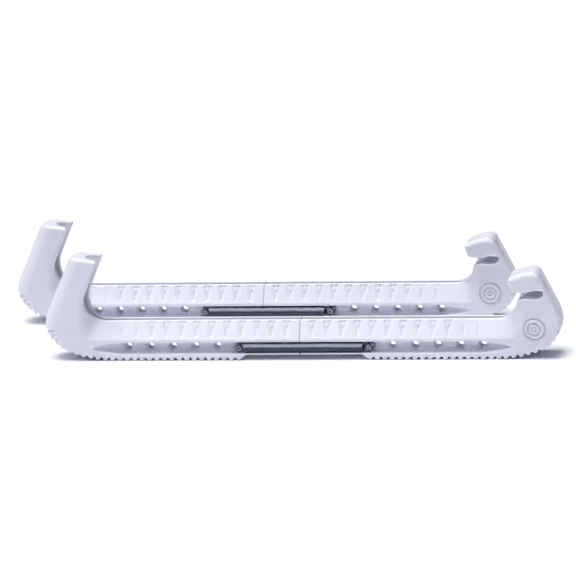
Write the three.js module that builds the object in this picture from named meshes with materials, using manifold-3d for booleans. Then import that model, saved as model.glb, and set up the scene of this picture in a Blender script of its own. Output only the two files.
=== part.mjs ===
// A pair of two-piece skate blade guards, in millimetres, +Z up, +X from toe to heel.
//
// Each guard is a toe half and a heel half, butted together at x = 0 of the guard and pulled
// together by two extension springs. The springs lie in the side grooves, and their end loops sit
// round two cross pins, one through each half. The origin is the middle of the pair, on the ground.

import * as THREE from "three";
import { mergeVertices } from "three/addons/utils/BufferGeometryUtils.js";
import Module from "manifold-3d";

// ---- driving dimensions -------------------------------------------------------------------------

const HALF_LENGTH = 171.7;        // one half, from the split to its end
const WIDTH = 24;                 // across the sole, the toe and the heel
const PART_GAP = 0.3;             // clearance between touching pieces

const PAIR_SHIFT_X = 41;          // the rear guard sits this far toward the toe
const PAIR_SHIFT_Y = 95;          // and this far behind the front guard

const RIM_Z = 25.8;               // top of the rail, where the blade goes in
const RIM_WIDTH = 9;              // across the rail at its rim, where its walls are thin lips
const SHOULDER_Z = 14.4;          // where the vertical side turns into the sloped flank
const FLANK_END_SLANT = 1.5;      // run of the flank's end per millimetre of width
const TOE_FLANK_END = 144;        // distance from the split to where the flank ends at the side
const HEEL_FLANK_END = 147;
const SOLE_Z = 3.6;               // plain sole under the springs

const BLADE_SLOT = 5.4;           // width of the blade slot
const SLOT_FLOOR_Z = 13.4;
const CHANNEL_MOUTH = 14.4;       // the toe upright is hollowed out, widest at its open side
const CHANNEL_DEPTH = 9.4;
const CHANNEL_FLOOR_Z = 22;
const INNER_BEND = 13.6;          // radius between the rim and the upright's inner edge
const TOE_LEAN = 0.445;           // run of the upright's inner edge per millimetre of height
const TOE_INNER_EDGE = { x: -142.2, z: 46.65 };    // where that edge leaves the bend
const HOOK_ROOF_Z = 50.8;         // underside of the bridge over the slot at the top of the heel

const GROOVE_Z = 8.4;             // middle of the spring groove, the hook holes and the springs
const GROOVE_RADIUS = 3.8;
const GROOVE_DEPTH = 7;
const GROOVE_TAPER = 20;          // the groove's end runs out to a point over this length
const TOE_GROOVE_END = 138.5;     // distance of that point from the split
const HEEL_GROOVE_END = 139.4;

const HOLE_PITCH = 15;
const HOLES_PER_HALF = 8;
const HOLE_RADIUS = 2.3;
const TOE_FIRST_HOLE = 11;        // distance of the first hole from the split
const HEEL_FIRST_HOLE = 15.4;
const HOOKED_HOLE = 2;            // the springs hook into the third hole of each half (0 is the first)
const NOSE_RADIUS = 9;            // the toe's front corners, seen from above

const TREAD_PITCH = 5;
const TREAD_GAP_RADIUS = 1.35;    // rounded gap between two teeth
const TOE_TREAD_START = 41;       // distance from the split to the first tooth
const HEEL_TREAD_START = 46;
const TREAD_CHAMFER = 5;
const TOE_LIFT = { flatEnd: 120, run: 26, bend: 7.5, top: 22 };     // how the tread curves up
const HEEL_LIFT = { flatEnd: 128, run: 22, bend: 6.5, top: 22 };

const FLUTES_PER_HALF = 12;
const FLUTE_PITCH = 10;
const FLUTE_WIDTH = 5.4;          // at the rim; it closes to a point near the shoulder
const FLUTE_DEPTH = 1;
const TOE_FIRST_FLUTE = 8.7;
const HEEL_FIRST_FLUTE = 8.3;

const SPRING_RADIUS = 3.3;
const SPRING_BODY_START = -38.3;  // the close coils, between the two end loops
const SPRING_BODY_END = 40.4;
const SPRING_WIRE = 0.9;          // wire thickness
const LOOP_INNER_RADIUS = 2.1;
const LOOP_OUTER_RADIUS = 3.1;

const PIN_RADIUS = 1.8;           // cross pin through a hooked hole, inside the end loops
const PIN_HEAD_RADIUS = 2.35;
const PIN_HEAD_LENGTH = 1.6;
const PIN_END_Y = 11.4;

const BADGE_X = 155;              // plain raised ring on the heel's sides
const BADGE_Z = 20;
const BADGE_RADIUS = 6.4;
const BADGE_BAND = 1.1;
const BADGE_HEIGHT = 0.4;

const HALF_WIDTH = WIDTH / 2;
const GROOVE_AXIS_Y = HALF_WIDTH - GROOVE_DEPTH + GROOVE_RADIUS;

// ---- materials ----------------------------------------------------------------------------------

const whitePlastic = new THREE.MeshStandardMaterial({ color: 0xe9eaf5, roughness: 0.42, metalness: 0 });
const springSteel = new THREE.MeshStandardMaterial({ color: 0x4b5163, roughness: 0.3, metalness: 1 });
const pinSteel = new THREE.MeshStandardMaterial({ color: 0x7a8090, roughness: 0.25, metalness: 1 });

// ---- solids and booleans ------------------------------------------------------------------------

const manifold = await Module();
manifold.setup();

// A closed three.js geometry as a solid that can be joined and cut.
function toSolid(geometry) {
  const bare = geometry.index ? geometry.toNonIndexed() : geometry.clone();
  bare.deleteAttribute("normal");
  bare.deleteAttribute("uv");
  const merged = mergeVertices(bare, 1e-4);
  return new manifold.Manifold(new manifold.Mesh({
    numProp: 3,
    vertProperties: new Float32Array(merged.attributes.position.array),
    triVerts: new Uint32Array(merged.index.array),
  }));
}

function toMesh(name, solid, material) {
  const { vertProperties, triVerts } = solid.getMesh();
  const geometry = new THREE.BufferGeometry();
  geometry.setAttribute("position", new THREE.BufferAttribute(vertProperties, 3));
  geometry.setIndex(new THREE.BufferAttribute(triVerts, 1));
  geometry.computeVertexNormals();
  const mesh = new THREE.Mesh(geometry, material);
  mesh.name = name;
  return mesh;
}

function joined(solids) {
  return solids.reduce((whole, next) => whole.add(next));
}

// A side-view outline, drawn in x and z, made into a plate between y = near and y = far.
function sidePlate(shape, near, far, curveSegments = 8) {
  const geometry = new THREE.ExtrudeGeometry(shape, {
    depth: far - near, bevelEnabled: false, curveSegments,
  });
  geometry.rotateX(Math.PI / 2);
  geometry.translate(0, far, 0);
  return toSolid(geometry);
}

// A round bar across the guard, from y = near to y = far.
function crossBar(x, z, radius, near, far, sides = 10) {
  const geometry = new THREE.CylinderGeometry(radius, radius, far - near, sides);
  geometry.translate(x, (near + far) / 2, z);
  return toSolid(geometry);
}

// The same solid on the other side of the guard.
function bothSides(solid) {
  return solid.add(solid.mirror([0, 1, 0]));
}

// ---- side outlines ------------------------------------------------------------------------------
// Each half is drawn for its own side of the split: the toe half at x < 0, the heel half at x > 0.

// The ground edge of a half, from its first tooth to its end: flat, then curving up.
function groundEdge(direction, treadStart, lift) {
  const edge = new THREE.CurvePath();
  edge.add(new THREE.LineCurve(
    new THREE.Vector2(direction * treadStart, 0),
    new THREE.Vector2(direction * lift.flatEnd, 0),
  ));
  edge.add(new THREE.CubicBezierCurve(
    new THREE.Vector2(direction * lift.flatEnd, 0),
    new THREE.Vector2(direction * (lift.flatEnd + lift.run), 0),
    new THREE.Vector2(direction * HALF_LENGTH, lift.bend),
    new THREE.Vector2(direction * HALF_LENGTH, lift.top),
  ));
  return edge;
}

// Follows the ground edge with a rounded gap cut into it at every tread pitch.
function drawTread(shape, edge) {
  const teeth = Math.floor(edge.getLength() / TREAD_PITCH);
  for (let tooth = 1; tooth <= teeth; tooth += 1) {
    const middle = tooth * TREAD_PITCH - TREAD_PITCH / 2;
    const at = edge.getPointAt(middle / edge.getLength());
    const along = edge.getTangentAt(middle / edge.getLength());
    for (const turn of [0, 0.3, 0.7, 1]) {
      const angle = Math.PI * turn;
      const run = -TREAD_GAP_RADIUS * Math.cos(angle);
      const rise = TREAD_GAP_RADIUS * 1.3 * Math.sin(angle);
      const inward = along.x < 0 ? 1 : -1;
      shape.lineTo(
        at.x + along.x * run + inward * along.y * rise,
        at.y + along.y * run - inward * along.x * rise,
      );
    }
  }
}

function toeOutline() {
  const edge = groundEdge(-1, TOE_TREAD_START, TOE_LIFT);
  const shape = new THREE.Shape();
  shape.moveTo(-PART_GAP / 2, SOLE_Z);
  shape.lineTo(-TOE_TREAD_START + TREAD_CHAMFER, SOLE_Z);
  shape.lineTo(-TOE_TREAD_START, 0);
  drawTread(shape, edge);
  shape.lineTo(-HALF_LENGTH, TOE_LIFT.top);
  shape.bezierCurveTo(-HALF_LENGTH, 28, -170, 31, -167.8, 35.5);
  shape.lineTo(-154.2, 65.4);
  shape.quadraticCurveTo(-152.2, 69.8, -147.6, 69.4);
  shape.lineTo(-135.4, 67.7);
  shape.quadraticCurveTo(-133, 67.3, -133.8, 65.2);
  shape.absarc(
    -130.2, RIM_Z + INNER_BEND, INNER_BEND, THREE.MathUtils.degToRad(156), THREE.MathUtils.degToRad(270),
  );
  shape.lineTo(-PART_GAP / 2, RIM_Z);
  shape.closePath();
  return shape;
}

function heelOutline() {
  const edge = groundEdge(1, HEEL_TREAD_START, HEEL_LIFT);
  const shape = new THREE.Shape();
  shape.moveTo(PART_GAP / 2, SOLE_Z);
  shape.lineTo(HEEL_TREAD_START - TREAD_CHAMFER, SOLE_Z);
  shape.lineTo(HEEL_TREAD_START, 0);
  drawTread(shape, edge);
  shape.lineTo(HALF_LENGTH, HEEL_LIFT.top);
  shape.quadraticCurveTo(171.5, 27, 168.9, 33);
  shape.lineTo(158.4, 55);
  shape.quadraticCurveTo(157, 58, 153.4, 57.8);
  shape.quadraticCurveTo(146, 57, 140.4, 54.4);
  shape.quadraticCurveTo(138.2, 53.3, 138.9, 51.3);
  shape.lineTo(140.6, 46.4);
  shape.quadraticCurveTo(141, 45, 142.5, 45);
  shape.splineThru([[149.4, 44.2], [153.6, 45.3], [158, 46], [161.2, 44.8], [161, 41.6], [157.2, 39.9],
    [153, 40], [149.4, 40.4], [145.6, 39.6]].map(([x, z]) => new THREE.Vector2(x, z)));
  shape.quadraticCurveTo(144, 39, 143.8, 37.2);
  shape.quadraticCurveTo(142.6, 28.6, 133, RIM_Z);
  shape.lineTo(PART_GAP / 2, RIM_Z);
  shape.closePath();
  return shape;
}

// ---- cutters shared by both halves --------------------------------------------------------------

// Slopes one flank of the rail between the shoulder and the rim. The slope ends slantwise at runOut,
// where the rail turns into the full-width toe or heel.
function flankCutter(direction, runOut) {
  const slope = new THREE.Shape();
  slope.moveTo(HALF_WIDTH, SHOULDER_Z);
  slope.lineTo(HALF_WIDTH + 2, SHOULDER_Z);
  slope.lineTo(HALF_WIDTH + 2, RIM_Z + 2);
  slope.lineTo(RIM_WIDTH / 2 - 0.7, RIM_Z + 2);
  slope.closePath();
  const geometry = new THREE.ExtrudeGeometry(slope, { depth: runOut + 2, bevelEnabled: false });
  geometry.rotateX(Math.PI / 2);
  geometry.rotateZ(Math.PI / 2);
  geometry.translate(-2, 0, 0);
  const corners = geometry.attributes.position;
  for (let index = 0; index < corners.count; index += 1) {
    const x = corners.getX(index);
    const pulledBack = x > 0 ? (HALF_WIDTH + 2 - corners.getY(index)) * FLANK_END_SLANT : 0;
    corners.setX(index, x - pulledBack);
  }
  const cutter = toSolid(geometry);
  return direction > 0 ? cutter : cutter.mirror([1, 0, 0]);
}

// The spring groove on one side: a half-round channel that runs out to a point.
function grooveCutter(direction, grooveEnd) {
  const straight = grooveEnd - GROOVE_TAPER;
  const stations = [[-2, 1], [straight, 1], [straight + GROOVE_TAPER * 0.4, 0.84],
    [straight + GROOVE_TAPER * 0.75, 0.5], [grooveEnd, 0]];
  const profile = [new THREE.Vector2(0, -2)];
  const outline = new THREE.Shape();
  outline.moveTo(-2 * direction, GROOVE_Z - GROOVE_RADIUS);
  for (const [x, fullness] of stations) {
    profile.push(new THREE.Vector2(GROOVE_RADIUS * fullness, x));
    outline.lineTo(x * direction, GROOVE_Z - GROOVE_RADIUS * fullness);
  }
  for (const [x, fullness] of stations.toReversed()) {
    outline.lineTo(x * direction, GROOVE_Z + GROOVE_RADIUS * fullness);
  }
  const round = new THREE.LatheGeometry(profile, 12);
  round.rotateZ(-Math.PI / 2);
  if (direction < 0) round.rotateZ(Math.PI);
  round.translate(0, GROOVE_AXIS_Y, GROOVE_Z);
  return toSolid(round).add(sidePlate(outline, GROOVE_AXIS_Y, HALF_WIDTH + 2));
}

function holeX(direction, firstHole, index) {
  return direction * (firstHole + index * HOLE_PITCH);
}

function hookHoleCutters(direction, firstHole) {
  const holes = [];
  for (let index = 0; index < HOLES_PER_HALF; index += 1) {
    holes.push(crossBar(holeX(direction, firstHole, index), GROOVE_Z, HOLE_RADIUS, -HALF_WIDTH, HALF_WIDTH));
  }
  return joined(holes);
}

// Shallow flutes on one flank: wide at the rim, closing to a point near the shoulder.
function fluteCutters(direction, firstFlute) {
  const flankRun = HALF_WIDTH - RIM_WIDTH / 2;
  const flankRise = RIM_Z - SHOULDER_Z;
  const tilt = Math.atan2(flankRun, flankRise);
  const height = Math.hypot(flankRun, flankRise);
  const flute = new THREE.Shape();
  flute.moveTo(0, 1.2);
  flute.lineTo(FLUTE_WIDTH / 2, height + 1);
  flute.lineTo(-FLUTE_WIDTH / 2, height + 1);
  flute.closePath();
  const flutes = [];
  for (let index = 0; index < FLUTES_PER_HALF; index += 1) {
    const geometry = new THREE.ExtrudeGeometry(flute, { depth: FLUTE_DEPTH + 1, bevelEnabled: false });
    geometry.translate(0, 0, -1);
    geometry.rotateX(Math.PI / 2 + tilt);
    geometry.translate(direction * (firstFlute + index * FLUTE_PITCH), HALF_WIDTH, SHOULDER_Z);
    flutes.push(toSolid(geometry));
  }
  return joined(flutes);
}

// Rounds one front corner of the toe, seen from above.
function noseCutter() {
  const middle = new THREE.Vector2(NOSE_RADIUS - HALF_LENGTH, HALF_WIDTH - NOSE_RADIUS);
  const corner = new THREE.Shape();
  corner.absarc(middle.x, middle.y, NOSE_RADIUS, Math.PI / 2, Math.PI);
  corner.lineTo(middle.x - NOSE_RADIUS - 1, middle.y);
  corner.lineTo(middle.x - NOSE_RADIUS - 1, HALF_WIDTH + 1);
  corner.lineTo(middle.x, HALF_WIDTH + 1);
  corner.closePath();
  return toSolid(new THREE.ExtrudeGeometry(corner, { depth: 80, bevelEnabled: false, curveSegments: 4 }));
}

// ---- the two halves -----------------------------------------------------------------------------

// The far end of the blade slot in each half, from its floor up: distance from the split, height.
// In the heel the slot runs out through the back, under a bridge along the top of the hook.
const TOE_SLOT_END = [[146, SLOT_FLOOR_Z], [156, 17], [158, 26], [134, 80]];
const HEEL_SLOT_END = [
  [152, SLOT_FLOOR_Z], [162, 15], [180, 19],
  [180, HOOK_ROOF_Z + 6], [157, HOOK_ROOF_Z + 3], [150, HOOK_ROOF_Z + 1], [141.5, HOOK_ROOF_Z], [140.6, 60],
];

function slotCutter(direction, slotEnd) {
  const slot = new THREE.Shape();
  slot.moveTo(-2 * direction, SLOT_FLOOR_Z);
  for (const [distance, z] of slotEnd) slot.lineTo(distance * direction, z);
  slot.lineTo(-2 * direction, slotEnd.at(-1)[1]);
  slot.closePath();
  return sidePlate(slot, -BLADE_SLOT / 2, BLADE_SLOT / 2, 4);
}

// The hollow of the toe upright: half an ellipse seen from above, leaning with the upright.
function channelCutter() {
  const height = 80 - CHANNEL_FLOOR_Z;
  const plan = new THREE.Shape();
  plan.moveTo(CHANNEL_DEPTH * 2, CHANNEL_MOUTH / 2);
  plan.absellipse(0, 0, CHANNEL_DEPTH, CHANNEL_MOUTH / 2, Math.PI / 2, Math.PI * 1.5);
  plan.lineTo(CHANNEL_DEPTH * 2, -CHANNEL_MOUTH / 2);
  plan.closePath();
  const geometry = new THREE.ExtrudeGeometry(plan, { depth: height, bevelEnabled: false, curveSegments: 5 });
  geometry.applyMatrix4(new THREE.Matrix4().makeShear(0, 0, 0, 0, TOE_LEAN, 0));
  const floorX = TOE_INNER_EDGE.x - TOE_LEAN * (TOE_INNER_EDGE.z - CHANNEL_FLOOR_Z);
  geometry.translate(floorX, 0, CHANNEL_FLOOR_Z);
  return toSolid(geometry);
}

function toeHalf() {
  return sidePlate(toeOutline(), -HALF_WIDTH, HALF_WIDTH)
    .subtract(bothSides(noseCutter()))
    .subtract(bothSides(flankCutter(-1, TOE_FLANK_END)))
    .subtract(slotCutter(-1, TOE_SLOT_END))
    .subtract(channelCutter())
    .subtract(bothSides(grooveCutter(-1, TOE_GROOVE_END)))
    .subtract(hookHoleCutters(-1, TOE_FIRST_HOLE))
    .subtract(bothSides(fluteCutters(-1, TOE_FIRST_FLUTE)));
}

function heelHalf() {
  return sidePlate(heelOutline(), -HALF_WIDTH, HALF_WIDTH)
    .subtract(bothSides(flankCutter(1, HEEL_FLANK_END)))
    .subtract(slotCutter(1, HEEL_SLOT_END))
    .subtract(bothSides(grooveCutter(1, HEEL_GROOVE_END)))
    .subtract(hookHoleCutters(1, HEEL_FIRST_HOLE))
    .subtract(bothSides(fluteCutters(1, HEEL_FIRST_FLUTE)))
    .add(bothSides(badge()));
}

// A plain flat ring standing a little proud of the heel's side.
function badge() {
  const ring = new THREE.Shape();
  ring.absarc(BADGE_X, BADGE_Z, BADGE_RADIUS, 0, 2 * Math.PI);
  const inside = new THREE.Path();
  inside.absarc(BADGE_X, BADGE_Z, BADGE_RADIUS - BADGE_BAND, 0, 2 * Math.PI, true);
  ring.holes.push(inside);
  return sidePlate(ring, HALF_WIDTH - 1, HALF_WIDTH + BADGE_HEIGHT, 10);
}

// ---- springs and pins ---------------------------------------------------------------------------

const toePinX = holeX(-1, TOE_FIRST_HOLE, HOOKED_HOLE);
const heelPinX = holeX(1, HEEL_FIRST_HOLE, HOOKED_HOLE);

// A flat end loop of the spring, round the pin at x.
function endLoop(x, y) {
  const loop = new THREE.Shape();
  loop.absarc(x, GROOVE_Z, LOOP_OUTER_RADIUS, 0, 2 * Math.PI);
  const eye = new THREE.Path();
  eye.absarc(x, GROOVE_Z, LOOP_INNER_RADIUS, 0, 2 * Math.PI, true);
  loop.holes.push(eye);
  return sidePlate(loop, y - SPRING_WIRE / 2, y + SPRING_WIRE / 2, 8);
}

// One spring as its outer shape: the close coils, and a loop round the pin at each end.
function spring(side) {
  const y = side * GROOVE_AXIS_Y;
  const coils = new THREE.CylinderGeometry(
    SPRING_RADIUS, SPRING_RADIUS, SPRING_BODY_END - SPRING_BODY_START, 16,
  );
  coils.rotateZ(Math.PI / 2);
  coils.translate((SPRING_BODY_START + SPRING_BODY_END) / 2, y, GROOVE_Z);
  const loopStart = heelPinX - LOOP_INNER_RADIUS;
  const neck = new THREE.BoxGeometry(loopStart - SPRING_BODY_END, SPRING_WIRE, SPRING_WIRE * 2);
  neck.translate((loopStart + SPRING_BODY_END) / 2 - 0.3, y, GROOVE_Z);
  return joined([toSolid(coils), toSolid(neck), endLoop(toePinX, y), endLoop(heelPinX, y)]);
}

// A headed cross pin that holds the end loops of both springs.
function crossPin(x) {
  return crossBar(x, GROOVE_Z, PIN_RADIUS, -PIN_END_Y, PIN_END_Y, 12)
    .add(bothSides(crossBar(x, GROOVE_Z, PIN_HEAD_RADIUS, PIN_END_Y - PIN_HEAD_LENGTH, PIN_END_Y, 12)));
}

const guardPieces = {
  toe_half: [toeHalf(), whitePlastic],
  heel_half: [heelHalf(), whitePlastic],
  near_spring: [spring(-1), springSteel],
  far_spring: [spring(1), springSteel],
  toe_cross_pin: [crossPin(toePinX), pinSteel],
  heel_cross_pin: [crossPin(heelPinX), pinSteel],
};

// ---- the pair -----------------------------------------------------------------------------------

function guard(prefix) {
  const group = new THREE.Group();
  for (const [piece, [solid, material]] of Object.entries(guardPieces)) {
    group.add(toMesh(`${prefix}_${piece}`, solid, material));
  }
  return group;
}

const pair = new THREE.Group();
const front = guard("front");
front.position.set(PAIR_SHIFT_X / 2, -PAIR_SHIFT_Y / 2, 0);
const rear = guard("rear");
rear.position.set(-PAIR_SHIFT_X / 2, PAIR_SHIFT_Y / 2, 0);
pair.add(front, rear);

export default pair;
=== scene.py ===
"""A pair of two-piece skate blade guards on a white studio floor.

Each guard is a toe half and a heel half of moulded plastic, pulled together by two coil springs. The
halves are modelled once, as distance fields in millimetres in the frame of one guard (x = 0 at the
split, toe at -x, heel at +x, z = 0 at the tread), meshed, and used for both guards.
"""

import math

import bmesh
import bpy
import numpy as np
import openvdb
from mathutils import Matrix, Vector


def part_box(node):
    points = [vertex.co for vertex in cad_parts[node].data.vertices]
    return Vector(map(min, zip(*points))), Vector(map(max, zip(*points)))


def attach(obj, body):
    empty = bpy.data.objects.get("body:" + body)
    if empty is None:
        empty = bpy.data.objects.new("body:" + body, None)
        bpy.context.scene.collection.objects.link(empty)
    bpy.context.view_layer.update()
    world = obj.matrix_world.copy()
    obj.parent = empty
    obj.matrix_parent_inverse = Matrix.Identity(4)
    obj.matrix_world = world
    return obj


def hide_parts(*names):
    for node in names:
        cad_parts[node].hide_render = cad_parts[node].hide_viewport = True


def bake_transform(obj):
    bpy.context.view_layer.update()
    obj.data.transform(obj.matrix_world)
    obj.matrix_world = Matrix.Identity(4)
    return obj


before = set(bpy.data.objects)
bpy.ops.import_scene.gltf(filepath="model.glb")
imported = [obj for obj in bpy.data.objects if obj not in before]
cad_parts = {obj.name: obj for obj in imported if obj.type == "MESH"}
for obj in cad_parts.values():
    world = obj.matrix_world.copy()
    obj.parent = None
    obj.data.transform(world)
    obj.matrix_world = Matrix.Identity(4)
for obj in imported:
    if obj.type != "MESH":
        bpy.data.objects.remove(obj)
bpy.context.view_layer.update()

MM = 0.001
GRID = (0.5, 0.4, 0.4)           # spacing of the distance fields
GRID_MARGIN = (1.5, 1.6, 1.2)    # how far they reach past the plastic: ends, sides, below

# ---- sizes of one guard, in millimetres ---------------------------------------------------------
# A fade is a pair of values: a feature starts at the first and is complete at the second.

HALF_LENGTH = 171.7
HALF_WIDTH = 12.0
PART_GAP = 0.12
EDGE_RADIUS = 0.8
SPLIT_RADIUS = 0.2

RIM_Z = 25.8
RIM_HALF_WIDTH = 4.5
SHOULDER_Z = 14.4
SHOULDER_STEP = 0.35
RAIL_INSET = HALF_WIDTH - RIM_HALF_WIDTH - SHOULDER_STEP
SOLE_Z = 3.6

SLOT_HALF_WIDTH = 2.7
SLOT_FLOOR_Z = 13.4
SLOT_FLOOR_RADIUS = 0.4
SLOT_LIP_RADIUS = 0.9

GROOVE_Z = 8.4
GROOVE_AXIS_Y = 8.8
GROOVE_RADIUS = 3.8
GROOVE_TAPER = 20.0
GROOVE_TAPER_POWER = 0.58
GROOVE_UPPER_LIP_RADIUS = 0.5
GROOVE_LOWER_LIP_RADIUS = 1.2

HOLE_PITCH = 15.0
HOLES_PER_HALF = 8
HOLE_RADIUS = 2.25
HOLE_LIP_RADIUS = 0.2
COUNTERSINK = 1.05
COUNTERSINK_FROM = 3.8
HOOKED_HOLE = 2

FLUTE_PITCH = 10.0
FLUTES_PER_HALF = 12
FAINT_FLUTES = 2                     # the last ones of each half are shallower
FAINT_FLUTE_SHARE = 0.55
FLUTE_TOP_HALF_WIDTH = 3.7
FLUTE_LOW_HALF_WIDTH = 0.5
FLUTE_DEPTH = 2.3
FLUTE_RIM_FADE = (0.2, 1.8)          # distance below the rim, where a flute and its nub are closed
FLUTE_FOOT_FADE = (0.03, 0.2)        # share of the way up from the shoulder to the rim
FLUTE_FOOT_SHARE = 0.3               # share of its depth that a flute has at its foot
NUB_DEPTH = 1.265
NUB_FADE = (1.3, 0.5)                # distance from the middle of its flute
NUB_FOOT_FADE = (6.0, 3.0)           # distance below the rim

TREAD_PITCH = 5.0
TREAD_CHAMFER = 5.0
TREAD_GAP_RADIUS = 1.0
TREAD_GAP_DEPTH = 1.8
TREAD_GAP_BELOW = 2.0                # how far a gap is cut past the ground edge
TREAD_ROUNDING = 0.7
STEEP_GAP_LOSS = 0.45                # share of its depth that a gap loses where the edge is upright
DENTS_FROM = 0.2                     # steepness of the edge from which the toe's gaps are dents
TOE_DENT_DEPTH = 1.1
TOE_DENT_FADE = (1.7, 0.2)           # distance from the middle of a dent, along the edge
TOE_DENT_RISE_FADE = (14, 10)        # distance from the edge
TOE_DENT_TURN_FADE = (1.5, 1.1)      # radians that the surface has turned from the front to the flank

# x and z of the toe's points, and how far its straight sides lean back or fall per millimetre
TOE_FRONT_FOOT = (-167.8, 35.5)
TOE_FRONT_LEAN = 0.455
TOE_FRONT_COSINE = 0.91
TOE_TOP_FRONT = (-147.6, 69.4)
TOE_TOP_FALL = 0.139
TOE_PLAN_RADIUS = 9.5
TOE_PLAN_FADE = (-120, -160)         # x where the front gets round in plan
TOE_TOP_RADIUS = 2.2
TOE_MOUTH_RADIUS = 1.3
UPRIGHT_X_FADE = (-128, -140)
UPRIGHT_Z_FADE = (20, 34)
TOE_HOLLOW_FRONT = (-142.2, 46.65)
TOE_HOLLOW_LEAN = 0.445
TOE_HOLLOW_HALF_WIDTH = 7.2
TOE_HOLLOW_DEPTH = 9.4
TOE_HOLLOW_Z_FADE = (23, 46)
TOE_HOLLOW_MOUTH_FADE = (8, 1)       # distance behind the front of the hollow
TOE_SLOT_END_DEPTH = 5.0

HOOK_TOP_RADIUS = 3.4
HOOK_TOP_FADE = (47, 51)
BACK_FADE = (150, 158)               # x where the heel's slot turns into the mouth down its back
BACK_Z_FADE = (14, 18)
BACK_LIP_RADIUS = 0.4
BACK_FLARE = 1.3
BACK_FLARE_DEPTH = 2.2
BRIDGE_Z = 50.8                      # underside of the bridge that closes the slot at the top
BRIDGE_CORNER_RADIUS = 0.8
BRIDGE_RISE, BRIDGE_RISE_FADE = 3.2, (141.5, 158)
HOOK_MOUTH_RISE, HOOK_MOUTH_FADE = 9, (146, 140.5)
HEEL_FLOOR_RISE, HEEL_FLOOR_FADE = 5.5, (150, 176)

BADGE_X, BADGE_Z = 155.0, 20.0
BADGE_RECESS_RADIUS = 7.3
BADGE_RECESS_DEPTH = 1.5
BADGE_RECESS_LIP_RADIUS = 0.1

COIL_RADIUS = 2.85
WIRE_RADIUS = 0.45
COIL_PITCH = 0.93
LOOP_RADIUS = 2.6

TOE = {
    "side": -1, "first_hole": 11.0, "first_flute": 8.7, "groove_end": 138.5,
    "rail_end_fade": (149, 136), "rail_top_fade": (46, 28),    # x and z where the lean is complete
    "tread_start": 41.0, "flat_end": 120.0, "lift": (26.0, 7.5, 22.0), "field_top": 71.0,
}
HEEL = {
    "side": 1, "first_hole": 15.4, "first_flute": 8.3, "groove_end": 139.4,
    "rail_end_fade": (149, 136.5), "rail_top_fade": (43, 27),
    "tread_start": 46.0, "flat_end": 128.0, "lift": (22.0, 6.5, 22.0), "field_top": 59.5,
}


# ---- distance fields ----------------------------------------------------------------------------
# A field is negative inside the solid. Two fields meet, or one cuts another, with a rounded edge.

def meet(a, b, radius):
    corner = np.hypot(np.maximum(a + radius, 0), np.maximum(b + radius, 0))
    return np.minimum(np.maximum(a, b), -radius) + corner


def cut(a, b, radius):
    return meet(a, -b, radius)


def ease(start, end, value):
    """0 up to the start, 1 from the end on, and a smooth step between them."""
    t = np.clip((value - start) / (end - start), 0, 1)
    return t * t * (3 - 2 * t)


def outline_field(points, x, z):
    """Signed distance to a closed outline, on the grid of x and z."""
    px, pz = np.meshgrid(x, z, indexing="ij")
    near = np.full(px.shape, 1e9)
    inside = np.zeros(px.shape, bool)
    ends = np.roll(points, -1, axis=0)
    for (ax, az), (bx, bz) in zip(points, ends):
        ex, ez = bx - ax, bz - az
        length = ex * ex + ez * ez
        if length < 1e-9:
            continue
        t = np.clip(((px - ax) * ex + (pz - az) * ez) / length, 0, 1)
        near = np.minimum(near, (px - ax - t * ex) ** 2 + (pz - az - t * ez) ** 2)
        crosses = (az > pz) != (bz > pz)
        if ez != 0:
            inside ^= crosses & (px < ax + (pz - az) * ex / ez)
    return np.where(inside, -1, 1) * np.sqrt(near)


# ---- side outlines ------------------------------------------------------------------------------

def bezier(*controls, steps=12):
    """Points along a Bezier curve, without its first point."""
    controls = np.array(controls, float)
    degree = len(controls) - 1
    t = np.linspace(0, 1, steps + 1)[1:, None]
    return sum(
        math.comb(degree, k) * t ** k * (1 - t) ** (degree - k) * controls[k] for k in range(degree + 1)
    )


def smooth_line(points, steps=6):
    """A Catmull-Rom curve through the points, without its first point."""
    p = np.array(points, float)
    p = np.vstack([2 * p[0] - p[1], p, 2 * p[-1] - p[-2]])
    out = []
    for k in range(1, len(p) - 2):
        for t in np.linspace(0, 1, steps + 1)[1:]:
            out.append(0.5 * (
                2 * p[k] + (p[k + 1] - p[k - 1]) * t
                + (2 * p[k - 1] - 5 * p[k] + 4 * p[k + 1] - p[k + 2]) * t ** 2
                + (3 * p[k] - p[k - 1] - 3 * p[k + 1] + p[k + 2]) * t ** 3
            ))
    return np.array(out)


def arc(centre, radius, start, end, steps=16):
    """Points along a circle, from one angle to another in degrees."""
    angles = np.radians(np.linspace(start, end, steps + 1))
    return np.stack([centre[0] + radius * np.cos(angles), centre[1] + radius * np.sin(angles)], axis=1)


def ground_edge(half):
    """Where the tread meets the ground: flat from its first tooth, then curving up to the end."""
    side, (run, bend, top) = half["side"], half["lift"]
    flat = np.array([[side * half["tread_start"], 0], [side * half["flat_end"], 0]])
    lift = bezier(
        (side * half["flat_end"], 0), (side * (half["flat_end"] + run), 0),
        (side * HALF_LENGTH, bend), (side * HALF_LENGTH, top), steps=30,
    )
    return np.vstack([flat, lift])


def toe_outline():
    """Sole and tread, up the front, over the top, down the inner bend, and back along the rim."""
    inner_bend = 13.6
    return np.vstack([
        [[-PART_GAP / 2, SOLE_Z], [-TOE["tread_start"] + TREAD_CHAMFER, SOLE_Z]],
        ground_edge(TOE),
        bezier((-HALF_LENGTH, 22), (-HALF_LENGTH, 28), (-170, 31), TOE_FRONT_FOOT),
        [[-154.2, 65.4]],
        bezier((-154.2, 65.4), (-152.2, 69.8), TOE_TOP_FRONT),
        [[-135.4, 67.7]],
        bezier((-135.4, 67.7), (-133, 67.3), (-133.8, 65.2)),
        arc((-130.2, RIM_Z + inner_bend), inner_bend, 156, 270),
        [[-PART_GAP / 2, RIM_Z]],
    ])


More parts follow.
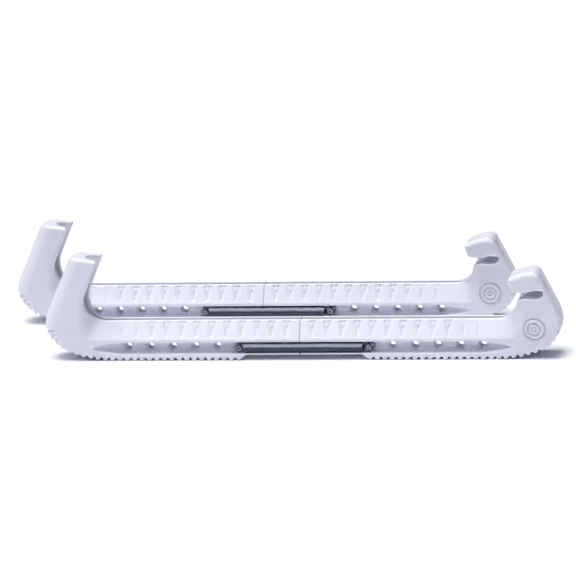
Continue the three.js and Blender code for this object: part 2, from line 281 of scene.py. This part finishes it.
def heel_outline():
    """Sole and tread, up the back, over the hook, round the notch, and back along the rim."""
    notch = [[142.5, 45], [149.4, 44.2], [153.6, 45.3], [158, 46], [161.2, 44.8], [161, 41.6],
             [157.2, 39.9], [153, 40], [149.4, 40.4], [145.6, 39.6]]
    return np.vstack([
        [[PART_GAP / 2, SOLE_Z], [HEEL["tread_start"] - TREAD_CHAMFER, SOLE_Z]],
        ground_edge(HEEL),
        bezier((HALF_LENGTH, 22), (171.5, 27), (168.9, 33)),
        [[158.4, 55]],
        bezier((158.4, 55), (157, 58), (153.4, 57.8)),
        bezier((153.4, 57.8), (146, 57), (140.4, 54.4)),
        bezier((140.4, 54.4), (138.2, 53.3), (138.9, 51.3)),
        [[140.6, 46.4]],
        bezier((140.6, 46.4), (141, 45), (142.5, 45)),
        smooth_line(notch),
        bezier((145.6, 39.6), (144, 39), (143.8, 37.2)),
        bezier((143.8, 37.2), (142.6, 28.6), (133, RIM_Z)),
        [[PART_GAP / 2, RIM_Z]],
    ])


# ---- tread --------------------------------------------------------------------------------------

def tread_gaps(half, x, z):
    """For each gap between two teeth: distances along and above the ground edge, and its steepness."""
    edge = ground_edge(half)
    runs = np.hypot(*np.diff(edge, axis=0).T)
    along = np.concatenate([[0], np.cumsum(runs)])
    px, pz = np.meshgrid(x, z, indexing="ij")
    for middle in np.arange(TREAD_PITCH / 2, along[-1], TREAD_PITCH):
        at = np.array([np.interp(middle, along, edge[:, k]) for k in range(2)])
        ahead = np.array([np.interp(middle + 1, along, edge[:, k]) for k in range(2)]) - at
        ahead /= np.hypot(*ahead)
        inward = np.array([-ahead[1], ahead[0]]) * half["side"]
        run = (px - at[0]) * ahead[0] + (pz - at[1]) * ahead[1]
        rise = (px - at[0]) * inward[0] + (pz - at[1]) * inward[1]
        yield run, rise, ahead[1]


def tread_channels(half, x, z):
    """A field of the round-topped gaps that are cut right across: all but those up the rounded toe."""
    channels = np.full((len(x), len(z)), 1e3)
    for run, rise, steepness in tread_gaps(half, x, z):
        if half is TOE and steepness > DENTS_FROM:
            continue
        reach = TREAD_GAP_DEPTH * (1 - STEEP_GAP_LOSS * abs(steepness)) - TREAD_GAP_RADIUS
        rise = np.maximum(rise - reach, 0) + np.minimum(rise + TREAD_GAP_BELOW, 0)
        channels = np.minimum(channels, np.hypot(run, rise) - TREAD_GAP_RADIUS)
    return channels[:, None, :]


def toe_dents(x, z):
    """How deep the gaps up the rounded toe are, as dents that follow its surface."""
    dents = np.zeros((len(x), len(z)))
    for run, rise, steepness in tread_gaps(TOE, x, z):
        if steepness > DENTS_FROM:
            dent = TOE_DENT_DEPTH * ease(*TOE_DENT_FADE, np.abs(run))
            dents = np.maximum(dents, dent * ease(*TOE_DENT_RISE_FADE, np.abs(rise)))
    return dents[:, None, :]


# ---- the plastic of one half --------------------------------------------------------------------

def flute_relief(half, x, z):
    """How far the flank is hollowed at x, z by the V-shaped flutes, less the nubs at their tops."""
    up = (z - SHOULDER_Z) / (RIM_Z - SHOULDER_Z)
    widening = FLUTE_TOP_HALF_WIDTH - FLUTE_LOW_HALF_WIDTH
    half_width = FLUTE_LOW_HALF_WIDTH + widening * np.clip(up, 0, 1.2)
    below_rim = ease(*FLUTE_RIM_FADE, RIM_Z - z)
    deepening = np.clip(FLUTE_FOOT_SHARE + (1 - FLUTE_FOOT_SHARE) * up, 0, 1)
    tall = deepening * ease(*FLUTE_FOOT_FADE, up) * below_rim
    nub_tall = ease(*NUB_FOOT_FADE, RIM_Z - z) * below_rim
    hollow = np.zeros(np.broadcast_shapes(x.shape, z.shape))
    nub = np.zeros_like(hollow)
    for k in range(FLUTES_PER_HALF):
        middle = half["side"] * (half["first_flute"] + k * FLUTE_PITCH)
        share = 1.0 if k < FLUTES_PER_HALF - FAINT_FLUTES else FAINT_FLUTE_SHARE
        off = np.abs(x - middle)
        across = np.clip(1 - off / (half_width * share ** 0.5), 0, 1)
        hollow = np.maximum(hollow, share * across * tall)
        nub = np.maximum(nub, share * ease(*NUB_FADE, off) * nub_tall)
    return hollow * FLUTE_DEPTH - nub * NUB_DEPTH


def half_grid(half):
    """The sample points of one half along x, y and z."""
    side = half["side"]
    past_end, past_side, below = GRID_MARGIN
    low, high = sorted((-1.0 * side, side * (HALF_LENGTH + past_end)))
    return (
        np.arange(low, high, GRID[0]),
        np.arange(-HALF_WIDTH - past_side, HALF_WIDTH + past_side + GRID[1], GRID[1]),
        np.arange(-below, half["field_top"], GRID[2]),
    )


def edge_facing(flat):
    """The direction that the side outline faces, as its shares along x and z."""
    slopes = np.gradient(flat[:, 0, :], GRID[0], GRID[2])
    steep = np.maximum(np.hypot(*slopes), 1e-3)
    return [(slope / steep)[:, None, :] for slope in slopes]


def flank_field(half, gx, gy, gz):
    """The sides: upright below the shoulder, leaning in with flutes above it, upright at the ends."""
    rail = ease(*half["rail_end_fade"], gx * half["side"]) * ease(*half["rail_top_fade"], gz)
    inset = np.clip((gz - SHOULDER_Z) * RAIL_INSET / (RIM_Z - SHOULDER_Z), 0, RAIL_INSET)
    inset = inset + SHOULDER_STEP * ease(SHOULDER_Z - 0.3, SHOULDER_Z + 0.2, gz)
    return gy - HALF_WIDTH + inset * rail + flute_relief(half, gx, gz) * rail


def sharper_at_split(half, gx):
    """What to add to the edge radius so that the edges at the split are sharp."""
    return (SPLIT_RADIUS - EDGE_RADIUS) * ease(2, 1, gx * half["side"])


def cut_grooves_and_holes(half, body, gx, gy, gz):
    """Side grooves for the springs, and the hook holes with their countersinks."""
    distance = gx * half["side"]
    fullness = np.clip((half["groove_end"] - distance) / GROOVE_TAPER, 1e-3, 1) ** GROOVE_TAPER_POWER
    radius = GROOVE_RADIUS * fullness
    axis_y = HALF_WIDTH - (HALF_WIDTH - GROOVE_AXIS_Y) * fullness
    groove = np.hypot(np.minimum(gy - axis_y, 0), gz - GROOVE_Z) - radius
    groove = np.maximum(groove, distance - half["groove_end"])
    low = ease(GROOVE_Z, GROOVE_Z - 2, gz)
    lip = GROOVE_UPPER_LIP_RADIUS + (GROOVE_LOWER_LIP_RADIUS - GROOVE_UPPER_LIP_RADIUS) * low
    body = cut(body, groove, lip)
    for k in range(HOLES_PER_HALF):
        off = np.hypot(distance - half["first_hole"] - k * HOLE_PITCH, gz - GROOVE_Z)
        sunk = np.clip(gy - COUNTERSINK_FROM, 0, COUNTERSINK)
        body = cut(body, off - HOLE_RADIUS - sunk, HOLE_LIP_RADIUS)
    return body


def toe_field():
    """Sample points and field of the toe half."""
    x, y, z = half_grid(TOE)
    gx, gy, gz = x[:, None, None], np.abs(y)[None, :, None], z[None, None, :]
    flat = outline_field(toe_outline(), x, z)[:, None, :]
    flank = flank_field(TOE, gx, gy, gz)

    # the front is round in plan, the top and the mouth of the hollow less so, the ground edge least
    facing_x, facing_z = edge_facing(flat)
    upright = ease(*UPRIGHT_X_FADE, gx) * ease(*UPRIGHT_Z_FADE, gz)
    front_rounding = (TOE_PLAN_RADIUS - EDGE_RADIUS) * ease(0.1, 0.9, -facing_x)
    radius = EDGE_RADIUS + front_rounding * ease(*TOE_PLAN_FADE, gx)
    radius = np.maximum(radius, TOE_MOUTH_RADIUS * upright * ease(0.2, 0.8, facing_x))
    radius = np.maximum(radius, TOE_TOP_RADIUS * upright * ease(0.4, 0.9, facing_z))
    radius = radius + sharper_at_split(TOE, gx)
    body = meet(flat, flank, radius)

    # the front's round corners run on up through the top face
    foot_x, foot_z = TOE_FRONT_FOOT
    top_x, top_z = TOE_TOP_FRONT
    front = (foot_x + TOE_FRONT_LEAN * (gz - foot_z) - gx) * TOE_FRONT_COSINE
    top = gz - top_z + TOE_TOP_FALL * (gx - top_x)
    prism = meet(meet(front, gy - HALF_WIDTH, TOE_PLAN_RADIUS), top, TOE_TOP_RADIUS)
    body = np.maximum(body, prism)

    turned = np.arctan2(np.maximum(flank + radius, 0), np.maximum(flat + radius, 1e-6))
    body = body + toe_dents(x, z) * ease(*TOE_DENT_TURN_FADE, turned)
    body = cut(body, tread_channels(TOE, x, z), TREAD_ROUNDING)

    # blade slot, widening into the hollow of the upright
    hollow_x, hollow_z = TOE_HOLLOW_FRONT
    slot_end = hollow_x - TOE_HOLLOW_LEAN * (hollow_z - gz)
    widen = ease(*TOE_HOLLOW_Z_FADE, gz) * ease(*TOE_HOLLOW_MOUTH_FADE, gx - slot_end)
    depth = TOE_SLOT_END_DEPTH + (TOE_HOLLOW_DEPTH - TOE_SLOT_END_DEPTH) * widen
    mouth = SLOT_HALF_WIDTH + (TOE_HOLLOW_HALF_WIDTH - SLOT_HALF_WIDTH) * widen
    slot = (np.hypot(np.maximum(slot_end - gx, 0) / depth, gy / mouth) - 1) * mouth
    slot = meet(slot, SLOT_FLOOR_Z - gz, SLOT_FLOOR_RADIUS)
    body = cut(body, slot, SLOT_LIP_RADIUS)
    return x, y, z, cut_grooves_and_holes(TOE, body, gx, gy, gz)


def heel_field():
    """Sample points and field of the heel half."""
    x, y, z = half_grid(HEEL)
    gx, gy, gz = x[:, None, None], np.abs(y)[None, :, None], z[None, None, :]
    flat = outline_field(heel_outline(), x, z)[:, None, :]

    # the hook is round along its top
    facing_z = edge_facing(flat)[1]
    hook_rounding = (HOOK_TOP_RADIUS - EDGE_RADIUS) * ease(*HOOK_TOP_FADE, gz)
    radius = EDGE_RADIUS + hook_rounding * ease(0.3, 0.9, facing_z) + sharper_at_split(HEEL, gx)
    body = meet(flat, flank_field(HEEL, gx, gy, gz), radius)
    body = cut(body, tread_channels(HEEL, x, z), TREAD_ROUNDING)

    # blade slot, open through the back below a bridge, with a flared mouth down the back edge
    at_back = ease(*BACK_FADE, gx)
    flared = np.clip(1 + flat / BACK_FLARE_DEPTH, 0, 1) * at_back * ease(*BACK_Z_FADE, gz)
    roof_z = BRIDGE_Z + BRIDGE_RISE * ease(*BRIDGE_RISE_FADE, gx)
    roof_z = roof_z + HOOK_MOUTH_RISE * ease(*HOOK_MOUTH_FADE, gx)
    floor_z = SLOT_FLOOR_Z + HEEL_FLOOR_RISE * ease(*HEEL_FLOOR_FADE, gx)
    slot = meet(gy - SLOT_HALF_WIDTH - BACK_FLARE * flared, floor_z - gz, SLOT_FLOOR_RADIUS)
    slot = meet(slot, gz - roof_z, BRIDGE_CORNER_RADIUS)
    body = cut(body, slot, SLOT_LIP_RADIUS + (BACK_LIP_RADIUS - SLOT_LIP_RADIUS) * at_back)
    body = cut_grooves_and_holes(HEEL, body, gx, gy, gz)

    badge_recess = np.maximum(
        np.hypot(gx - BADGE_X, gz - BADGE_Z) - BADGE_RECESS_RADIUS,
        HALF_WIDTH - BADGE_RECESS_DEPTH - gy,
    )
    return x, y, z, cut(body, badge_recess, BADGE_RECESS_LIP_RADIUS)


def plastic_mesh(name, field):
    """The surface of a field as a smooth-shaded mesh in metres, in the frame of one guard."""
    x, y, z, values = field
    grid = openvdb.FloatGrid(background=3.0)
    grid.copyFromArray(np.clip(values, -3, 3).astype(np.float32))
    points, triangles, quads = grid.convertToPolygons(isovalue=0.0, adaptivity=0.1)
    slopes = np.stack(np.gradient(values, *GRID), axis=-1)
    cell = np.minimum(np.floor(points).astype(int), np.array(values.shape) - 2)
    part = points - cell
    normals = np.zeros_like(points, dtype=float)
    for corner in np.ndindex(2, 2, 2):
        share = np.prod(np.where(corner, part, 1 - part), axis=1)
        normals += share[:, None] * slopes[tuple((cell + corner).T)]
    normals /= np.maximum(np.linalg.norm(normals, axis=1), 1e-9)[:, None]
    origin = np.array([x[0], y[0], z[0]])
    faces = triangles.tolist() + quads.tolist()
    mesh = bpy.data.meshes.new(name)
    mesh.from_pydata(((points * GRID + origin) * MM).tolist(), [], faces)
    mesh.update()
    mesh.polygons.foreach_set("use_smooth", [True] * len(mesh.polygons))
    mesh.normals_split_custom_set_from_vertices(normals.tolist())
    return mesh


# ---- badge, springs and pins --------------------------------------------------------------------

def smooth_mesh(name, points, faces):
    """A smooth-shaded mesh from points in millimetres, with doubled points merged."""
    mesh = bpy.data.meshes.new(name)
    mesh.from_pydata((np.array(points) * MM).tolist(), [], faces)
    tidy = bmesh.new()
    tidy.from_mesh(mesh)
    bmesh.ops.remove_doubles(tidy, verts=tidy.verts, dist=1e-6)
    tidy.to_mesh(mesh)
    tidy.free()
    mesh.polygons.foreach_set("use_smooth", [True] * len(mesh.polygons))
    return mesh


def ring_faces(first, rings, sides):
    """The faces that join rings of points, each to the next, from the first point's index on."""
    faces = []
    for ring in range(rings - 1):
        for k in range(sides):
            a = first + ring * sides + k
            b = first + ring * sides + (k + 1) % sides
            faces.append((a, b, b + sides, a + sides))
    return faces


def rings_mesh(name):
    """The ringed badge on both sides of the heel: a turned disc that fills a round recess."""
    # radius, and how far it stands out from the side of the heel
    profile = [
        (0, 0.55), (0.6, 0.5), (0.95, 0.3), (1.25, -0.5), (1.6, -0.5), (1.9, 0.3), (2.15, 0.55),
        (2.75, 0.55), (3.0, 0.3), (3.3, -0.45), (4.6, -0.45), (4.9, 0.35), (5.15, 0.65),
        (6.0, 0.65), (6.25, 0.35), (6.55, -0.7), (6.95, -0.7), (7.2, -0.1), (7.35, 0.04),
        (7.6, 0.04), (7.6, -0.2), (7.1, -0.9), (7.1, -1.2), (0, -1.2),
    ]
    sides = 72
    points, faces = [], []
    for side in (-1, 1):
        disc = ring_faces(len(points), len(profile), sides)
        faces += disc if side < 0 else [corners[::-1] for corners in disc]
        for radius, out in profile:
            for k in range(sides):
                angle = 2 * math.pi * k / sides
                points.append((
                    BADGE_X + radius * math.cos(angle), side * (HALF_WIDTH + out),
                    BADGE_Z + radius * math.sin(angle),
                ))
    return smooth_mesh(name, points, faces)


def tube_mesh(name, path, radius, sides):
    """A round wire swept along a path, with capped ends."""
    path = np.array(path, float)
    tangent = np.gradient(path, axis=0)
    tangent /= np.linalg.norm(tangent, axis=1)[:, None]
    across = np.cross(tangent[0], (0.3, 0.9, 0.2))
    across /= np.linalg.norm(across)
    points = []
    for centre, direction in zip(path, tangent):
        across = across - direction * np.dot(across, direction)
        across /= np.linalg.norm(across)
        other = np.cross(direction, across)
        for k in range(sides):
            angle = 2 * math.pi * k / sides
            points.append(centre + radius * (math.cos(angle) * across + math.sin(angle) * other))
    faces = ring_faces(0, len(path), sides)
    last = (len(path) - 1) * sides
    faces.append(tuple(range(sides))[::-1])
    faces.append(tuple(last + k for k in range(sides)))
    return smooth_mesh(name, points, faces)


TOE_PIN_X = -TOE["first_hole"] - HOOKED_HOLE * HOLE_PITCH
HEEL_PIN_X = HEEL["first_hole"] + HOOKED_HOLE * HOLE_PITCH
COILS_START = TOE_PIN_X + 3.4
COILS_END = HEEL_PIN_X - 3.9
LOOP_START, LOOP_TURN = 150, 330     # degrees
LOOP_HALF_SHIFT = 0.25               # a loop's two ends pass each other by twice this
WIRE_SIDES = 6


def loop_path(pin_x, direction):
    """The flat end loop around a pin, from its free end to where it leaves for the coils."""
    steps = 16
    points = []
    for k in range(steps + 1):
        angle = math.radians(LOOP_START + LOOP_TURN * k / steps)
        points.append((
            pin_x - direction * LOOP_RADIUS * math.cos(angle),
            LOOP_HALF_SHIFT * (2 * k / steps - 1),
            LOOP_RADIUS * math.sin(angle),
        ))
    return points


def bridge_path(start, end):
    """Two points between the end loop and the nearest coil."""
    return [tuple(np.array(start) * (1 - t) + np.array(end) * t) for t in (0.33, 0.67)]


def spring_path():
    """One spring's wire from the toe pin to the heel pin, about its own axis: loop, coils, loop."""
    steps = 14
    turns = round((COILS_END - COILS_START) / COIL_PITCH)
    coils = []
    for k in range(turns * steps + 1):
        angle = 2 * math.pi * k / steps
        along = COILS_START + (COILS_END - COILS_START) * k / (turns * steps)
        coils.append((along, COIL_RADIUS * math.cos(angle), COIL_RADIUS * math.sin(angle)))
    toe_loop = loop_path(TOE_PIN_X, 1)
    heel_loop = loop_path(HEEL_PIN_X, -1)[::-1]
    to_coils = bridge_path(toe_loop[-1], coils[0])
    from_coils = bridge_path(coils[-1], heel_loop[0])
    return toe_loop + to_coils + coils + from_coils + heel_loop


def pin_mesh(name, pin_x):
    """A cross pin turned from bar: domed heads with a dimple, necked shank."""
    # radius, and distance from the middle of the guard, for one half of the pin
    profile = [
        (0.0, 11.0), (0.5, 11.05), (0.8, 11.3), (1.5, 11.38), (2.0, 11.2), (2.3, 10.8),
        (2.3, 10.0), (2.1, 9.75), (1.75, 9.7), (1.75, 7.2), (1.6, 7.0), (1.6, 0.0),
    ]
    profile = profile + [(radius, -y) for radius, y in profile[-2::-1]]
    sides = 32
    points = [(pin_x, profile[0][1], GROOVE_Z)]
    for radius, y in profile[1:-1]:
        for k in range(sides):
            angle = 2 * math.pi * k / sides
            points.append((pin_x + radius * math.cos(angle), y, GROOVE_Z + radius * math.sin(angle)))
    points.append((pin_x, profile[-1][1], GROOVE_Z))
    last = len(points) - 1
    faces = [(0, 1 + (k + 1) % sides, 1 + k) for k in range(sides)]
    faces += ring_faces(1, len(profile) - 2, sides)
    faces += [(last, last - sides + k, last - sides + (k + 1) % sides) for k in range(sides)]
    return smooth_mesh(name, points, faces)


# ---- materials ----------------------------------------------------------------------------------

def new_material(name):
    material = bpy.data.materials.new(name)
    material.use_nodes = True
    return material, material.node_tree, material.node_tree.nodes["Principled BSDF"]


def noise(tree, scale, detail=4.0):
    """Noise over the object, with so many lumps per metre."""
    coordinates = tree.nodes.new("ShaderNodeTexCoord")
    texture = tree.nodes.new("ShaderNodeTexNoise")
    texture.inputs["Scale"].default_value = scale
    texture.inputs["Detail"].default_value = detail
    tree.links.new(coordinates.outputs["Object"], texture.inputs["Vector"])
    return texture.outputs["Fac"]


def spread(tree, source, low, high):
    """The noise spread over the range from low to high."""
    ranged = tree.nodes.new("ShaderNodeMapRange")
    ranged.inputs["From Min"].default_value = 0.3
    ranged.inputs["From Max"].default_value = 0.7
    ranged.inputs["To Min"].default_value = low
    ranged.inputs["To Max"].default_value = high
    tree.links.new(source, ranged.inputs["Value"])
    return ranged.outputs["Result"]


def mixed_colour(tree, source, first, second):
    """A colour between the first and the second, as the noise goes."""
    ramp = tree.nodes.new("ShaderNodeValToRGB")
    ramp.color_ramp.elements[0].position = 0.3
    ramp.color_ramp.elements[0].color = (*first, 1)
    ramp.color_ramp.elements[1].position = 0.7
    ramp.color_ramp.elements[1].color = (*second, 1)
    tree.links.new(source, ramp.inputs["Fac"])
    return ramp.outputs["Color"]


def bump(tree, shader, height, strength, distance):
    """Surface grain from a height, at most the distance high, in metres."""
    node = tree.nodes.new("ShaderNodeBump")
    node.inputs["Strength"].default_value = strength
    node.inputs["Distance"].default_value = distance
    tree.links.new(height, node.inputs["Height"])
    tree.links.new(node.outputs["Normal"], shader.inputs["Normal"])


def white_plastic():
    """Milky plastic with a faint grain, slightly blue."""
    material, tree, shader = new_material("white_plastic")
    colour = mixed_colour(tree, noise(tree, 38.0), (0.745, 0.755, 0.855), (0.775, 0.785, 0.885))
    tree.links.new(colour, shader.inputs["Base Color"])
    tree.links.new(spread(tree, noise(tree, 90.0), 0.36, 0.48), shader.inputs["Roughness"])
    bump(tree, shader, noise(tree, 1400.0, 3.0), 0.12, 0.0001)
    shader.inputs["IOR"].default_value = 1.49
    shader.inputs["Subsurface Weight"].default_value = 0.6
    shader.inputs["Subsurface Radius"].default_value = (0.9, 0.95, 1.0)
    shader.inputs["Subsurface Scale"].default_value = 0.0012
    return material


def spring_steel():
    """Blued wire with painted reflection in bands along the coils: a painted dark reflection at mid
    height, a painted highlight above it.
    """
    material, tree, shader = new_material("spring_steel")
    coordinates = tree.nodes.new("ShaderNodeTexCoord")
    height = tree.nodes.new("ShaderNodeSeparateXYZ")
    tree.links.new(coordinates.outputs["Object"], height.inputs["Vector"])
    level = tree.nodes.new("ShaderNodeMapRange")
    level.inputs["From Min"].default_value = (GROOVE_Z - COIL_RADIUS - WIRE_RADIUS) * MM
    level.inputs["From Max"].default_value = (GROOVE_Z + COIL_RADIUS + WIRE_RADIUS) * MM
    tree.links.new(height.outputs["Z"], level.inputs["Value"])
    painted_reflection_bands = tree.nodes.new("ShaderNodeValToRGB")
    # painted reflection bands: height from the bottom to the top of the coils, and the grey painted
    # there as reflection and highlight; the darker, the bluer
    stops = ((0.0, 0.10), (0.1, 0.3), (0.2, 0.22), (0.33, 0.04), (0.43, 0.05), (0.55, 0.3),
             (0.64, 0.95), (0.79, 0.95), (0.86, 0.3), (0.93, 0.02))
    for k, (at, grey) in enumerate(stops):
        stop = painted_reflection_bands.color_ramp.elements[k] if k < 2 else painted_reflection_bands.color_ramp.elements.new(at)
        stop.position = at
        stop.color = (grey * 0.88, grey ** 0.93 * 0.92, grey ** 0.8, 1)
    uneven = tree.nodes.new("ShaderNodeMath")
    tree.links.new(level.outputs["Result"], uneven.inputs[0])
    tree.links.new(spread(tree, noise(tree, 160.0), -0.03, 0.03), uneven.inputs[1])
    tree.links.new(uneven.outputs["Value"], painted_reflection_bands.inputs["Fac"])
    # the painted reflection and highlight bands become the wire's base colour
    tree.links.new(painted_reflection_bands.outputs["Color"], shader.inputs["Base Color"])
    tree.links.new(spread(tree, noise(tree, 500.0), 0.28, 0.38), shader.inputs["Roughness"])
    bump(tree, shader, noise(tree, 2600.0, 2.0), 0.08, 0.00005)
    shader.inputs["Metallic"].default_value = 0.7
    return material


def pin_steel():
    """Dark bright-turned steel."""
    material, tree, shader = new_material("pin_steel")
    colour = mixed_colour(tree, noise(tree, 300.0), (0.10, 0.11, 0.14), (0.22, 0.23, 0.28))
    tree.links.new(colour, shader.inputs["Base Color"])
    tree.links.new(spread(tree, noise(tree, 700.0), 0.18, 0.34), shader.inputs["Roughness"])
    bump(tree, shader, noise(tree, 3000.0, 2.0), 0.1, 0.00004)
    shader.inputs["Metallic"].default_value = 1.0
    return material


def floor_material():
    material, tree, shader = new_material("studio_floor")
    colour = mixed_colour(tree, noise(tree, 3.0), (0.88, 0.90, 0.96), (0.90, 0.92, 0.98))
    tree.links.new(colour, shader.inputs["Base Color"])
    shader.inputs["Roughness"].default_value = 0.9
    return material


# ---- the pair -----------------------------------------------------------------------------------

def add_piece(name, mesh, material, offset, body=None, replaced=()):
    """Put a mesh of one guard's frame in the scene, tied to its body, and hide the CAD parts it stands
    for.
    """
    piece = bpy.data.objects.new(name, mesh)
    bpy.context.scene.collection.objects.link(piece)
    piece.location = offset
    mesh.materials.clear()
    mesh.materials.append(material)
    if body:
        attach(piece, body)
    if replaced:
        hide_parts(*replaced)
    return piece


materials = {
    "white_plastic": white_plastic(),
    "spring_steel": spring_steel(),
    "pin_steel": pin_steel(),
}
meshes = {
    "toe_half": plastic_mesh("toe_half", toe_field()),
    "heel_half": plastic_mesh("heel_half", heel_field()),
    "heel_rings": rings_mesh("heel_rings"),
    "toe_cross_pin": pin_mesh("toe_cross_pin", TOE_PIN_X),
    "heel_cross_pin": pin_mesh("heel_cross_pin", HEEL_PIN_X),
}
wire_path = np.array(spring_path())

for guard in ("front", "rear"):
    low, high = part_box(f"{guard}_toe_half")
    split = (high.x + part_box(f"{guard}_heel_half")[0].x) / 2
    offset = Vector((split, (low.y + high.y) / 2, 0))
    for piece, mesh in meshes.items():
        body = f"{guard}_toe" if piece.startswith("toe") else f"{guard}_heel"
        slot = "pin_steel" if "pin" in piece else "white_plastic"
        stands_for = [] if piece == "heel_rings" else [f"{guard}_{piece}"]
        add_piece(f"{guard}_{piece}_shape", mesh, materials[slot], offset, body, stands_for)
    for name, side in (("near", -1), ("far", 1)):
        path = wire_path + (0, side * GROOVE_AXIS_Y, GROOVE_Z)
        mesh = tube_mesh(f"{guard}_{name}_spring_wire", path, WIRE_RADIUS, WIRE_SIDES)
        spring = add_piece(
            f"{guard}_{name}_spring_wire", mesh, materials["spring_steel"], offset,
            replaced=[f"{guard}_{name}_spring"],
        )
        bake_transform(spring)

# ---- floor, light and camera --------------------------------------------------------------------

bpy.ops.mesh.primitive_plane_add(size=6, location=(0, 0, 0))
floor = bpy.context.object
floor.name = "studio_floor"
floor.data.materials.append(floor_material())


def studio_world():
    """A dim blue-white dome that is brighter overhead than at the horizon."""
    world = bpy.data.worlds.new("studio")
    world.use_nodes = True
    tree = world.node_tree
    direction = tree.nodes.new("ShaderNodeTexCoord")
    height = tree.nodes.new("ShaderNodeSeparateXYZ")
    glow = tree.nodes.new("ShaderNodeMapRange")
    glow.inputs["From Min"].default_value = 0.2
    glow.inputs["From Max"].default_value = 0.75
    glow.inputs["To Min"].default_value = 0.03
    glow.inputs["To Max"].default_value = 0.12
    backdrop = tree.nodes["Background"]
    backdrop.inputs["Color"].default_value = (0.75, 0.82, 1.0, 1)
    tree.links.new(direction.outputs["Generated"], height.inputs["Vector"])
    tree.links.new(height.outputs["Z"], glow.inputs["Value"])
    tree.links.new(glow.outputs["Result"], backdrop.inputs["Strength"])
    return world


def aim_light(name, kind, location, colour, energy):
    """A light that points at the middle of the pair."""
    light = bpy.data.lights.new(name, kind)
    light.color = colour
    light.energy = energy
    lamp = bpy.data.objects.new(name, light)
    bpy.context.scene.collection.objects.link(lamp)
    lamp.location = location
    lamp.rotation_euler = (-Vector(location)).to_track_quat("-Z", "Y").to_euler()
    return light


bpy.context.scene.world = studio_world()
overhead = aim_light("overhead", "SUN", (-0.22, -0.1, 1.6), (1.0, 0.99, 0.95), 3.45)
overhead.angle = math.radians(42)
front = aim_light("front", "AREA", (-0.75, -1.15, 1.15), (1.0, 0.99, 0.97), 6.0)
front.shape = "RECTANGLE"
front.size, front.size_y = 2.2, 0.7

AZIMUTH, ELEVATION, ROLL = 10.6, 14.0, 3.0    # the camera stands to the near right, a little above
DISTANCE = 3.0
TARGET = Vector((0.0037, 0, 0.0338))
FOCAL_LENGTH = 281.3

camera_data = bpy.data.cameras.new("camera")
camera_data.lens = FOCAL_LENGTH
camera_data.sensor_width = 36
camera_data.clip_end = 50
camera = bpy.data.objects.new("camera", camera_data)
bpy.context.scene.collection.objects.link(camera)
azimuth, elevation = math.radians(AZIMUTH), math.radians(ELEVATION)
away = Vector((
    math.sin(azimuth) * math.cos(elevation),
    -math.cos(azimuth) * math.cos(elevation),
    math.sin(elevation),
))
turn = away.to_track_quat("Z", "Y").to_matrix().to_4x4()
roll = Matrix.Rotation(math.radians(-ROLL), 4, "Z")
camera.matrix_world = Matrix.Translation(TARGET + away * DISTANCE) @ turn @ roll
bpy.context.scene.camera = camera
bpy.context.scene.view_settings.view_transform = "Standard"
